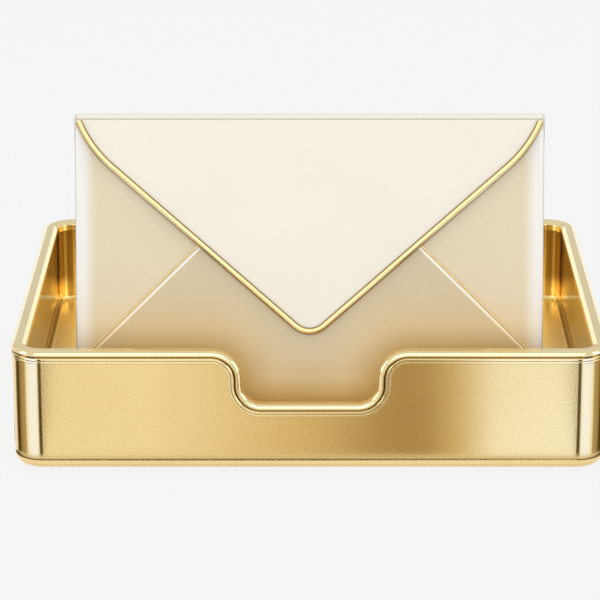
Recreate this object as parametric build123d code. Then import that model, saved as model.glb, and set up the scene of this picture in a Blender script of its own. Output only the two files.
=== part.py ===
from build123d import *
import os
from math import atan2, cos, radians, sin, tan

os.makedirs("parts", exist_ok=True)

# A desk letter tray of two nested metal pans under a thick rim, with one stiff envelope
# standing in a leaning rest inside.  Millimetres.  +Z is up and the front wall faces -Y.
# The origin is on the surface that the feet stand on, under the middle of the tray.

# ---------------------------------------------------------------- driving dimensions

# Tray, over its outside walls
tray_width = 281.0
tray_depth = 220.0
tray_height = 59.5              # shell underside to the crown of the rim
corner_radius = 14.7            # seen from above, outside the shell
shell_sheet = 1.2
liner_sheet = 1.0
wall_cavity = 4.1               # clear gap between the two walls
base_edge_radius = 5.7          # rounding between the shell's walls and its underside
floor_height = 16.3             # shell underside to the top of the raised floor
floor_edge_radius = 4.0         # hollow rounding between the floor and the liner's walls
hidden_bevel_share = 0.6        # on a sheet's hidden side, bevel leg to the rounding's radius

# Finger notch, measured along the crown of the rim
notch_width = 64.0
notch_depth = 26.5
notch_shoulder_radius = 14.4
notch_bottom_radius = 9.4

# Rim bar, in section
rim_overhang = 0.4              # how far the bar stands out over each wall
rim_crown_radius = 3.0          # outer edge of the crown
rim_inner_bevel = 1.6           # inner edge of the crown
rim_outer_skirt = 6.2           # crown to the shell's top edge
rim_inner_skirt = 4.6           # crown to the liner's top edge
tongue_length = 3.0             # below the outer skirt, between the walls
tongue_clearance = 0.15
rim_joint_margin = 4.0          # straight run between the notch shoulder and the bar's joint

# Feet, spacers and screws
foot_height = 3.0
foot_radius = 9.0
foot_inset = 24.0               # foot centre in from each outside wall
corner_screw_inset = 46.0       # rear corner screw in from each outside wall
spacer_width = 7.0              # hexagonal bar, across its flats
screw_radius = 1.5
screw_clearance = 0.2
screw_engagement = 6.0
head_width = 5.5                # hexagonal head, across its flats
head_height = 1.8

# Letter rest, bent from one strip of sheet
lean = 12.0                     # degrees that the envelope leans back
seat_setback = 15.4             # front wall's outside to the foot of the envelope
rest_sheet = 1.5
rest_bend_radius = 1.2          # inside the bends
rest_width = 150.0
rest_height = 72.0
rest_lip = 3.4                  # height of the low front lip
rest_gap = 0.3                  # clearance round the envelope
rest_corner_radius = 12.0       # corners of the flange
rest_leg_setback = 30.0         # foot of the envelope to the middle of the rear leg
rest_flange = 30.0              # rear leg to the end of the flange on the floor
rest_screw_spacing = 84.0
rest_screw_setback = 17.0       # rear leg to the screws

# Envelope, measured flat
envelope_width = 222.25
envelope_height = 146.05
flap_sheet = 1.2
panel_sheet = 0.9
flap_gap = 0.3                  # pointed flap to the bottom flap under it
pocket = 2.7                    # clear depth inside
side_fold_radius = 3.2          # front of the side folds, outside
bottom_fold_radius = 2.7        # front of the bottom fold, outside
rear_fold_radius = 1.1          # rear of all three folds, outside
rear_lip = 2.1                  # how far the folds reach on to the rear face
fold_corner_gap = 0.3           # side folds to the bottom fold
bottom_flap_inset = 0.7
seam_foot_height = 26.8         # where the bottom flap's sloping edge starts
seam_angle = 44.3               # degrees above level
seam_top_height = 104.0
seam_shoulder_radius = 6.0
edging_sides = 8                # flats round the seam cords and the piping
seam_cord_radius = 0.42         # to its flats
side_flap_reach = 84.0          # side flap's tip in from the envelope's side
side_flap_tip_height = 73.0
side_flap_tip_radius = 9.0
side_flap_foot = 4.0
side_flap_top_gap = 0.6

# Pointed flap and its hinge in the top fold
flap_corner_inset = 2.5         # flap's top corner in from the envelope's side
flap_point_height = 40.0        # height of the edges' meeting point before rounding
flap_point_radius = 10.0
flap_shoulder_angle = 65.8      # degrees below level, from the flap's top corner
flap_shoulder_drop = 12.9       # hinge line to where the edge turns, before rounding
flap_shoulder_curve = 12.7      # how far the rounded turn reaches along both edges
piping_radius = 1.3             # to its flats
piping_raise = 0.1              # piping's centre in front of the flap's face
ear_sheet = 0.9
ear_gap = 0.2                   # between the top fold's ends and the ears
ear_neck = 9.0
fold_clearance = 0.3            # top fold to the panels under it
pin_radius = 1.2
pin_clearance = 0.05

# Card inside the envelope
card_leaf = 1.0
card_leaf_gap = 0.4
card_margin = 2.2               # card's sides in from the envelope's folds
card_height = 132.0

# ---------------------------------------------------------------- derived places

base_z = foot_height
crown_z = base_z + tray_height
floor_z = base_z + floor_height
front_y = -tray_depth / 2
wall = shell_sheet + wall_cavity + liner_sheet
liner_inset = shell_sheet + wall_cavity
rim_joint_x = notch_width / 2 + notch_shoulder_radius + rim_joint_margin
cut_margin = 1.0


def save(shape, node):
    """Write one named piece."""
    shape.label = node
    export_step(shape, f"parts/{node}.step")


# ---------------------------------------------------------------- tray: pans and rim


def pan_block(inset, low, high, edge_radius, is_seen):
    """Upright block inset from the tray's outside, its bottom edge round where it is seen."""
    outline = RectangleRounded(tray_width - 2 * inset, tray_depth - 2 * inset, corner_radius - inset)
    block = extrude(Plane.XY.offset(low) * outline, amount=high - low)
    bottom = block.edges().group_by(Axis.Z)[0]
    if is_seen:
        return fillet(bottom, edge_radius)
    return chamfer(bottom, edge_radius * hidden_bevel_share)


def pan(inset, low, high, sheet, edge_radius, seen_outside):
    """Open pan of sheet: outer block less the same block, one sheet smaller."""
    outside = pan_block(inset, low, high, edge_radius, seen_outside)
    inside = pan_block(inset + sheet, low + sheet, high + cut_margin, edge_radius - sheet, not seen_outside)
    return outside - inside


def notch_line(drop):
    """The crown's line over the notch, or the line that runs a given drop below it."""
    half = notch_width / 2 + drop
    high = crown_z - drop
    low = high - notch_depth
    shoulder = notch_shoulder_radius - drop
    corner = notch_bottom_radius + drop
    return FilletPolyline(
        (-rim_joint_x, high),
        (-half, high),
        (-half, low),
        (half, low),
        (half, high),
        (rim_joint_x, high),
        radius=[shoulder, corner, corner, shoulder],
    )


def notch_cutter(drop):
    """Block that cuts a pan's front wall along the line a given drop below the crown."""
    line = notch_line(drop)
    top = crown_z + cut_margin
    lid = Polyline(line @ 1, (rim_joint_x, top), (-rim_joint_x, top), line @ 0)
    front = Plane(origin=(0, front_y - cut_margin, 0), x_dir=(1, 0, 0), z_dir=(0, -1, 0))
    return extrude(front * make_face(line.edges() + lid.edges()), amount=-(wall + 2 * cut_margin))


def rim_section(x):
    """The bar's section where it crosses the plane X = x on the front wall."""
    half = wall / 2
    out = half + rim_overhang
    flat = out - rim_crown_radius
    bevel = out - rim_inner_bevel
    tongue_out = half - shell_sheet - tongue_clearance
    tongue_in = half - liner_sheet - tongue_clearance
    tongue_end = rim_outer_skirt + tongue_length
    outer_round = CenterArc((flat, -rim_crown_radius), rim_crown_radius, 0, 90)
    other_sides = Polyline(
        (flat, 0),
        (-bevel, 0),
        (-out, -rim_inner_bevel),
        (-out, -rim_inner_skirt),
        (-tongue_in, -rim_inner_skirt),
        (-tongue_in, -tongue_end),
        (tongue_out, -tongue_end),
        (tongue_out, -rim_outer_skirt),
        (out, -rim_outer_skirt),
        (out, -rim_crown_radius),
    )
    face = make_face(outer_round.edges() + other_sides.edges())
    seat = Plane(origin=(x, front_y + half, crown_z), x_dir=(0, -1, 0), z_dir=(-1, 0, 0))
    return seat * face


def rim():
    """The bar in two runs: round the tray's plan, and down through the notch."""
    middle = wall / 2
    side_x = tray_width / 2 - middle
    end_y = tray_depth / 2 - middle
    ring_line = FilletPolyline(
        (rim_joint_x, -end_y),
        (side_x, -end_y),
        (side_x, end_y),
        (-side_x, end_y),
        (-side_x, -end_y),
        (-rim_joint_x, -end_y),
        radius=corner_radius - middle,
    )
    ring = sweep(rim_section(rim_joint_x), path=Plane.XY.offset(crown_z) * ring_line)
    front = Plane(origin=(0, -end_y, 0), x_dir=(1, 0, 0), z_dir=(0, -1, 0))
    dip = sweep(rim_section(-rim_joint_x), path=front * notch_line(0))
    return ring + dip


def cylinder(x, y, low, high, radius):
    """Upright round bar or hole between two heights."""
    return extrude(Plane((x, y, low)) * Circle(radius), amount=high - low)


def corner_places(inset):
    """The four places that lie a given inset from the outside walls, the front two first."""
    x = tray_width / 2 - inset
    y = tray_depth / 2 - inset
    return [(-x, -y), (x, -y), (-x, y), (x, y)]


# Rest geometry, in the leaning frame whose origin is the foot of the envelope's front face:
# X as the tray's, Y through the envelope's thickness to the rear, Z up the envelope.
slope = radians(lean)
envelope_depth = flap_sheet + flap_gap + 2 * panel_sheet + pocket + panel_sheet
bottom_front = flap_sheet + flap_gap
rest_inner_front = bottom_front - rest_gap
rest_inner_rear = envelope_depth + rest_gap
bend_y = rest_inner_rear - rest_bend_radius
bend_z = rest_bend_radius - rest_gap
bend_reach = rest_bend_radius + rest_sheet
seat_y = front_y + seat_setback
seat_z = floor_z + bend_y * sin(slope) - bend_z * cos(slope) + bend_reach
seat = Location((0, seat_y, seat_z), (-lean, 0, 0))

leg_y = seat_y + rest_leg_setback
rest_screw_y = leg_y + rest_screw_setback
rest_screw_places = [(-rest_screw_spacing / 2, rest_screw_y), (rest_screw_spacing / 2, rest_screw_y)]
corner_screw_places = corner_places(corner_screw_inset)[2:]

shell = pan(0, base_z, crown_z - rim_outer_skirt, shell_sheet, base_edge_radius, True)
shell -= notch_cutter(rim_outer_skirt)
shell_hole = screw_radius + screw_clearance
for x, y in corner_screw_places + rest_screw_places:
    shell -= cylinder(x, y, base_z - cut_margin, base_z + shell_sheet + cut_margin, shell_hole)
save(shell, "outer_shell")

liner_base = floor_z - liner_sheet
liner_top = crown_z - rim_inner_skirt
liner = pan(liner_inset, liner_base, liner_top, liner_sheet, floor_edge_radius + liner_sheet, False)
liner -= notch_cutter(rim_inner_skirt)
for x, y in rest_screw_places:
    liner -= cylinder(x, y, liner_base - cut_margin, floor_z + cut_margin, shell_hole)
save(liner, "inner_liner")

save(rim(), "rim_trim")

# ---------------------------------------------------------------- tray: feet, spacers, screws

spacer_low = base_z + shell_sheet
thread_top = spacer_low + screw_engagement


def spacer(x, y, through):
    """Hexagonal threaded spacer between the shell and the raised floor."""
    hexagon = Plane((x, y, spacer_low)) * RegularPolygon(spacer_width / 2, 6, major_radius=False)
    body = extrude(hexagon, amount=liner_base - spacer_low)
    bore_top = liner_base if through else thread_top
    return body - cylinder(x, y, spacer_low, bore_top, screw_radius)


def screw(x, y, bearing, tip):
    """Hexagon-head screw: its head bears at one height and its end reaches another."""
    side = 1 if bearing > tip else -1
    shank = cylinder(x, y, min(bearing, tip), max(bearing, tip), screw_radius)
    hexagon = Plane((x, y, bearing)) * RegularPolygon(head_width / 2, 6, major_radius=False)
    return shank + extrude(hexagon, amount=side * head_height)


def foot(x, y):
    """Round rubber foot stuck under the shell."""
    return cylinder(x, y, 0, base_z, foot_radius)


save(Compound([spacer(x, y, False) for x, y in corner_screw_places]), "corner_spacers")
save(Compound([spacer(x, y, True) for x, y in rest_screw_places]), "rest_spacers")
save(Compound([foot(x, y) for x, y in corner_places(foot_inset)]), "rubber_feet")
save(Compound([screw(x, y, base_z, thread_top) for x, y in corner_screw_places]), "corner_screws")
base_thread_top = spacer_low + screw_engagement / 2
save(Compound([screw(x, y, base_z, base_thread_top) for x, y in rest_screw_places]), "base_screws")

# ---------------------------------------------------------------- tray: the leaning letter rest


def bent_sheet(points, bend_radius, sheet, width):
    """Strip of even sheet along a bent centre line in the YZ plane, centred on X = 0."""
    line = FilletPolyline(*points, radius=bend_radius)
    side = Plane(origin=(-width / 2, 0, 0), x_dir=(0, 1, 0), z_dir=(1, 0, 0))
    return extrude(side * trace(line, sheet), amount=width)


def leaning(y, z):
    """A place in the leaning frame, as the tray's Y and Z."""
    return (seat_y + y * cos(slope) + z * sin(slope), seat_z - y * sin(slope) + z * cos(slope))


half_sheet = rest_sheet / 2
ledge_z = -rest_gap - half_sheet
rest_front = rest_inner_front - half_sheet
rest_back = rest_inner_rear + half_sheet
lip_end = leaning(rest_front, rest_lip - rest_gap)
back_end = leaning(rest_back, rest_height)
rest = bent_sheet(
    [
        lip_end,
        leaning(rest_front, ledge_z),
        leaning(rest_back, ledge_z),
        back_end,
        (leg_y, back_end[1]),
        (leg_y, floor_z + half_sheet),
        (leg_y + rest_flange, floor_z + half_sheet),
    ],
    rest_bend_radius + half_sheet,
    rest_sheet,
    rest_width,
)
flange_edges = rest.edges().filter_by(Axis.Z).group_by(Axis.Y)[-1]
rest = fillet(flange_edges, rest_corner_radius)
rest_screws = []
flange_top = floor_z + rest_sheet
for x, y in rest_screw_places:
    rest -= cylinder(x, y, floor_z - cut_margin, flange_top + cut_margin, shell_hole)
    rest_screws.append(screw(x, y, flange_top, liner_base - screw_engagement))

save(rest, "letter_rest")
save(Compound(rest_screws), "rest_screws")

# ---------------------------------------------------------------- envelope body

half_width = envelope_width / 2
side_front = bottom_front + panel_sheet
hinge_radius = envelope_depth / 2
hinge_y = hinge_radius
hinge_z = envelope_height - hinge_radius
panel_top = hinge_z - hinge_radius - fold_clearance
half_panel = panel_sheet / 2
edging_turn = 180 / edging_sides


def upright(outline, near, far):
    """Block with an outline drawn across and up the envelope, between two depths."""
    face = Plane(origin=(0, near, 0), x_dir=(1, 0, 0), z_dir=(0, -1, 0)) * outline
    return extrude(face, amount=near - far)


def lengthwise(start, end, radius):
    """Round bar or hole along the hinge's axis."""
    face = Plane(origin=(start, hinge_y, hinge_z), x_dir=(0, 1, 0), z_dir=(1, 0, 0)) * Circle(radius)
    return extrude(face, amount=end - start)


def closed_outline(line):
    """Face inside a line whose two ends are joined by a straight edge."""
    return make_face(line.edges() + Line(line @ 1, line @ 0).edges())


def left_side_flap():
    """Left side flap: pointed front leaf, rounded side fold and the ear of the hinge."""
    centre_x = -half_width + half_panel
    rear_y = envelope_depth - half_panel
    front_bend = FilletPolyline(
        (-half_width + side_flap_reach, side_front + half_panel),
        (centre_x, side_front + half_panel),
        (centre_x, rear_y),
        (-half_width + rear_lip, rear_y),
        radius=[side_fold_radius - half_panel, rear_fold_radius - half_panel],
    )
    low = side_flap_foot
    sheet = extrude(Plane.XY.offset(low) * trace(front_bend, panel_sheet), amount=panel_top - low)
    fold_x = -half_width + side_fold_radius
    leaf = FilletPolyline(
        (-half_width - cut_margin, low),
        (fold_x, low),
        (-half_width + side_flap_reach, side_flap_tip_height),
        (fold_x, panel_top - side_flap_top_gap),
        (fold_x, panel_top),
        (-half_width - cut_margin, panel_top),
        radius=[0, side_flap_tip_radius, 0, 0],
    )
    sheet = sheet & upright(closed_outline(leaf), 0, envelope_depth + cut_margin)
    ear = lengthwise(-half_width, -half_width + ear_sheet, hinge_radius)
    neck_y = envelope_depth - rear_fold_radius - hinge_y
    neck_face = Plane(origin=(-half_width, hinge_y, hinge_z), x_dir=(0, 1, 0), z_dir=(1, 0, 0))
    neck_outline = Rectangle(neck_y, ear_neck, align=(Align.MIN, Align.MAX))
    neck = extrude(neck_face * neck_outline, amount=ear_sheet)
    bore = lengthwise(-half_width, -half_width + ear_sheet, pin_radius)
    return sheet + ear + neck - bore


left_flap = left_side_flap()
right_flap = mirror(left_flap, about=Plane.YZ)

back_width = envelope_width - 2 * rear_lip
back_outline = Pos(0, rear_lip) * Rectangle(back_width, hinge_z - rear_lip, align=(Align.CENTER, Align.MIN))
back_panel = upright(back_outline, envelope_depth - panel_sheet, envelope_depth)
back_panel -= lengthwise(-half_width, half_width, hinge_radius + fold_clearance)

# The bottom flap's sloping edges rise from its sides and stop under the pointed flap.
flap_half = half_width - bottom_flap_inset
seam_rise = seam_top_height - seam_foot_height
seam_run = seam_rise * cos(radians(seam_angle)) / sin(radians(seam_angle))
bottom_outline = FilletPolyline(
    (-flap_half, 0),
    (-flap_half, seam_foot_height),
    (-flap_half + seam_run, seam_top_height),
    (flap_half - seam_run, seam_top_height),
    (flap_half, seam_foot_height),
    (flap_half, 0),
    radius=[seam_shoulder_radius] * 4,
)
bottom_centre = bottom_front + half_panel
bottom_section = FilletPolyline(
    (bottom_centre, seam_top_height),
    (bottom_centre, half_panel),
    (envelope_depth - half_panel, half_panel),
    (envelope_depth - half_panel, rear_lip),
    radius=[bottom_fold_radius - half_panel, rear_fold_radius - half_panel],
)
section_plane = Plane(origin=(-flap_half, 0, 0), x_dir=(0, 1, 0), z_dir=(1, 0, 0))
bottom_flap = extrude(section_plane * trace(bottom_section, panel_sheet), amount=2 * flap_half)
bottom_flap = bottom_flap & upright(closed_outline(bottom_outline), 0, envelope_depth + cut_margin)


def left_seam_cord():
    """Thin cord laid against the bottom flap's left sloping edge, on the side flap."""
    out_x = seam_cord_radius * sin(radians(seam_angle))
    out_z = seam_cord_radius * cos(radians(seam_angle))
    trim = seam_shoulder_radius / 2
    low = (-flap_half - out_x + trim, seam_foot_height + out_z + trim * seam_rise / seam_run)
    high = (-flap_half - out_x + seam_run - trim, seam_top_height + out_z - trim * seam_rise / seam_run)
    centre_y = side_front - seam_cord_radius
    start = Vector(low[0], centre_y, low[1])
    end = Vector(high[0], centre_y, high[1])
    flats = RegularPolygon(seam_cord_radius, edging_sides, major_radius=False, rotation=edging_turn)
    section = Plane(origin=start, x_dir=(0, 1, 0), z_dir=end - start) * flats
    return extrude(section, amount=(end - start).length)


left_cord = left_seam_cord()
right_cord = mirror(left_cord, about=Plane.YZ)

hinge_pin = lengthwise(-half_width, half_width, pin_radius)

# The card is one sheet folded in half, standing on the bottom fold.
card_front = side_front + panel_sheet + (pocket - 2 * card_leaf - card_leaf_gap) / 2 + card_leaf / 2
card_rear = card_front + card_leaf + card_leaf_gap
card_foot = panel_sheet + card_leaf / 2
card_line = FilletPolyline(
    (card_front, panel_sheet + card_height),
    (card_front, card_foot),
    (card_rear, card_foot),
    (card_rear, panel_sheet + card_height),
    radius=(card_rear - card_front) / 2 - 0.01,
)
card_width = envelope_width - 2 * (panel_sheet + card_margin)
card_plane = Plane(origin=(-card_width / 2, 0, 0), x_dir=(0, 1, 0), z_dir=(1, 0, 0))
letter_card = extrude(card_plane * trace(card_line, card_leaf), amount=card_width)

save(seat * left_flap, "left_flap")
save(seat * right_flap, "right_flap")
save(seat * back_panel, "back_panel")
save(seat * bottom_flap, "bottom_flap")
save(seat * left_cord, "left_seam_cord")
save(seat * right_cord, "right_seam_cord")
save(seat * hinge_pin, "hinge_pin")
save(seat * letter_card, "letter_card")

# ---------------------------------------------------------------- pointed flap


def flap_edge_line():
    """The pointed edge, from the left top corner down to the point and up again."""
    corner_x = half_width - flap_corner_inset
    shoulder = radians(flap_shoulder_angle)
    turn_x = corner_x - flap_shoulder_drop * cos(shoulder) / sin(shoulder)
    turn_z = hinge_z - flap_shoulder_drop
    half_turn = (shoulder - atan2(turn_z - flap_point_height, turn_x)) / 2
    shoulder_radius = flap_shoulder_curve / tan(half_turn)
    return FilletPolyline(
        (-corner_x, hinge_z),
        (-turn_x, turn_z),
        (0, flap_point_height),
        (turn_x, turn_z),
        (corner_x, hinge_z),
        radius=[shoulder_radius, flap_point_radius, shoulder_radius],
    )


edge_line = flap_edge_line()
front_plane = Plane(origin=(0, -piping_raise, 0), x_dir=(1, 0, 0), z_dir=(0, -1, 0))
piping_path = front_plane * edge_line
piping_flats = RegularPolygon(piping_radius, edging_sides, major_radius=False, rotation=edging_turn)
piping_start = Plane(origin=piping_path @ 0, x_dir=(0, 1, 0), z_dir=piping_path % 0)
piping = sweep(piping_start * piping_flats, path=piping_path)
barrel_half = half_width - ear_sheet - ear_gap
barrel = lengthwise(-barrel_half, barrel_half, hinge_radius)
plate = upright(closed_outline(edge_line), 0, flap_sheet)
bore = lengthwise(-half_width, half_width, pin_radius + pin_clearance)
piping = piping - barrel
top_flap = plate + barrel - bore - piping

save(seat * top_flap, "top_flap")
save(seat * piping, "flap_piping")
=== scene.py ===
from math import acos, atan2, cos, pi, radians, sin, sqrt, tan

import bmesh
import bpy
from mathutils import Matrix, Vector


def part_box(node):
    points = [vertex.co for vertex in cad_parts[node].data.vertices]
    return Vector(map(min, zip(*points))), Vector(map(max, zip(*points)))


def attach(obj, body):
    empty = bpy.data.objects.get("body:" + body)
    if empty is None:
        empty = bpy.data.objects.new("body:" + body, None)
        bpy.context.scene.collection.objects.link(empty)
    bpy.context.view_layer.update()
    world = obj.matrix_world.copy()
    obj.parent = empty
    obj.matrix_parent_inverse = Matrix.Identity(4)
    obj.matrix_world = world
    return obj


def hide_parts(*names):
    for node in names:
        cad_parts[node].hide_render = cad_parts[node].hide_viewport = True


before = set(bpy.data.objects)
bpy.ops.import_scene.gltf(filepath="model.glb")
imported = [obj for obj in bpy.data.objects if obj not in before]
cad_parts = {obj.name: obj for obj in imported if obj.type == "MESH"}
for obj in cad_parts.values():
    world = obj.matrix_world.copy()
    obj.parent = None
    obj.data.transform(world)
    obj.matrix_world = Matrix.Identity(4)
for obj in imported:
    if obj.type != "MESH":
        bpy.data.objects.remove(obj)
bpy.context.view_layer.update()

# ------------------------------------------------------------------ rim bar
# The thick rounded bar that caps both walls of the tray. It is drawn gold-plated brass, bent
# round the four corners and down through the finger notch, with two fine grooves below its crown.

MM = 0.001


def rounded(corners, radii, steps=14):
    """Points and headings along a line whose inner corners are arcs of the given radii."""
    corners = [Vector(corner) for corner in corners]
    first = corners[1] - corners[0]
    stations = [(corners[0], atan2(first.y, first.x))]
    for before, corner, after, radius in zip(corners, corners[1:], corners[2:], radii):
        arriving = (corner - before).normalized()
        leaving = (after - corner).normalized()
        heading = atan2(arriving.y, arriving.x)
        turn = atan2(arriving.x * leaving.y - arriving.y * leaving.x, arriving.dot(leaving))
        side = 1 if turn > 0 else -1
        start = corner - arriving * radius * tan(abs(turn) / 2)
        centre = start + Vector((-arriving.y, arriving.x)) * radius * side
        for step in range(steps + 1):
            angle = heading + turn * step / steps
            spoke = Vector((sin(angle), -cos(angle))) * radius * side
            stations.append((centre + spoke, angle))
    last = corners[-1] - corners[-2]
    stations.append((corners[-1], atan2(last.y, last.x)))
    return stations


def placed(name, data):
    """Object in the scene for a mesh, a lamp or a camera."""
    thing = bpy.data.objects.new(name, data)
    bpy.context.scene.collection.objects.link(thing)
    return thing


def woven(name, rows, closed_rows=False, closed_columns=False, capped=False):
    """Mesh object from rows of points, with quads between neighbouring rows, facing outwards."""
    width = len(rows[0])
    points = [tuple(point) for row in rows for point in row]
    faces = []
    for r in range(len(rows) if closed_rows else len(rows) - 1):
        here = r * width
        there = (r + 1) % len(rows) * width
        for c in range(width if closed_columns else width - 1):
            onward = (c + 1) % width
            faces.append((here + c, here + onward, there + onward, there + c))
    if capped:
        faces.append(tuple(range(width)))
        faces.append(tuple(range(len(points) - width, len(points))))
    mesh = bpy.data.meshes.new(name)
    mesh.from_pydata(points, [], faces)
    shape = bmesh.new()
    shape.from_mesh(mesh)
    bmesh.ops.remove_doubles(shape, verts=shape.verts, dist=0.001 * MM)
    bmesh.ops.recalc_face_normals(shape, faces=shape.faces)
    shape.to_mesh(mesh)
    shape.free()
    mesh.shade_smooth()
    return placed(name, mesh)


def add_modifier(piece, kind, **settings):
    """Modifier on a piece, set up in one go."""
    modifier = piece.modifiers.new(kind.title(), kind)
    for setting, value in settings.items():
        setattr(modifier, setting, value)
    return modifier


def steady_normals(piece, sharp_angle=50):
    """Keeps flat faces looking flat where they run into narrow rounded ones."""
    piece.data.set_sharp_from_angle(angle=radians(sharp_angle))
    add_modifier(piece, "WEIGHTED_NORMAL", keep_sharp=True, weight=90)


rim_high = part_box("rim_trim")[1]
shell_low, shell_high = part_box("outer_shell")
liner_low, liner_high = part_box("inner_liner")
liner_sheet = 1.0 * MM
crown_z = rim_high.z
rim_overhang = rim_high.x - shell_high.x
wall = shell_high.x - liner_high.x + liner_sheet
corner_radius = 14.7 * MM
notch_width, notch_depth = 64 * MM, 26.5 * MM
notch_shoulder_radius, notch_bottom_radius = 14.4 * MM, 9.4 * MM
rim_joint_x = notch_width / 2 + notch_shoulder_radius + 4 * MM
crown_radius = 2.3 * MM
inner_slope_width, inner_slope_drop = 2.0 * MM, 1.7 * MM
outer_skirt, inner_skirt = 6.2 * MM, 4.6 * MM
upper_groove, upper_width, upper_depth = 3.15 * MM, 1.3 * MM, 0.7 * MM
lower_groove, lower_width, lower_depth = 4.9 * MM, 0.4 * MM, 0.3 * MM
lip_in, lip_height = 0.25 * MM, 0.3 * MM


def rim_section():
    """The bar's section: outwards from the middle of the walls, and up from the crown."""
    out = wall / 2 + rim_overhang
    corners = [
        (0, 0),
        (out, 0),
        (out, -upper_groove + upper_width / 2),
        (out - upper_depth, -upper_groove),
        (out, -upper_groove - upper_width / 2),
        (out, -lower_groove + lower_width / 2),
        (out - lower_depth, -lower_groove),
        (out, -lower_groove - lower_width / 2),
        (out, -outer_skirt + lip_height),
        (out - lip_in, -outer_skirt),
        (0, -outer_skirt),
        (0, -inner_skirt),
        (-out, -inner_skirt),
        (-out, -inner_slope_drop),
        (-out + inner_slope_width, 0),
        (0, 0),
    ]
    groove_lip, edge, root = 0.1 * MM, 0.2 * MM, 0.04 * MM
    slope_foot, slope_top = 0.5 * MM, 0.8 * MM
    radii = [crown_radius, groove_lip, root, edge, edge, root, edge, edge, root, edge, edge, edge,
             slope_foot, slope_top]
    return [point for point, heading in rounded(corners, radii, steps=7)[:-1]]


def dip_line(reach, drop=0.0, steps=20):
    """Line along the front wall a drop below the crown, down through the notch, with headings."""
    half, high = notch_width / 2 + drop, crown_z - drop
    low = high - notch_depth
    dip = [(-reach, high), (-half, high), (-half, low), (half, low), (half, high), (reach, high)]
    shoulder, corner = notch_shoulder_radius - drop, notch_bottom_radius + drop
    return rounded(dip, [shoulder, corner, corner, shoulder], steps)


def rim_stations():
    """Places along the bar with its outward and upward directions, round the tray and the notch."""
    end_x, end_y = shell_high.x - wall / 2, shell_high.y - wall / 2
    tray_corners = [(end_x, -end_y), (end_x, end_y), (-end_x, end_y), (-end_x, -end_y)]
    ring = [(rim_joint_x, -end_y), *tray_corners, (-rim_joint_x, -end_y)]
    stations = []
    for point, heading in rounded(ring, [corner_radius - wall / 2] * 4, 20):
        outward = Vector((sin(heading), -cos(heading), 0))
        stations.append((Vector((point.x, point.y, crown_z)), outward, Vector((0, 0, 1))))
    for point, heading in dip_line(rim_joint_x)[1:-1]:
        upward = Vector((-sin(heading), 0, cos(heading)))
        stations.append((Vector((point.x, -end_y, point.y)), Vector((0, -1, 0)), upward))
    return stations


bar_section = rim_section()
rim_rows = []
for place, outward, upward in rim_stations():
    rim_rows.append([place + outward * point.x + upward * point.y for point in bar_section])
rim = woven("rim_bar", rim_rows, closed_rows=True, closed_columns=True)
steady_normals(rim)
# Painted shade: the bar's colour is darkened in its two grooves and under its lip, more the deeper in.
rim_face, groove_shade_depth = wall / 2 + rim_overhang, 0.3 * MM
soil = rim.data.attributes.new("soil", "FLOAT", "POINT")
for index, value in enumerate(soil.data):
    point = bar_section[index % len(bar_section)]
    if point.x > 0 and point.y < -crown_radius:
        value.value = min(1, max(0, rim_face - point.x) / groove_shade_depth)


class Wire:
    """A shader value that takes part in Python arithmetic."""

    def __init__(self, finish, socket):
        self.finish = finish
        self.socket = socket

    def maths(self, operation, first, second):
        return self.finish.node("ShaderNodeMath", {"operation": operation}, {0: first, 1: second})

    def __add__(self, other):
        return self.maths("ADD", self, other)

    def __sub__(self, other):
        return self.maths("SUBTRACT", self, other)

    def __rsub__(self, other):
        return self.maths("SUBTRACT", other, self)

    def __mul__(self, other):
        return self.maths("MULTIPLY", self, other)

    __radd__ = __add__
    __rmul__ = __mul__


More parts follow.
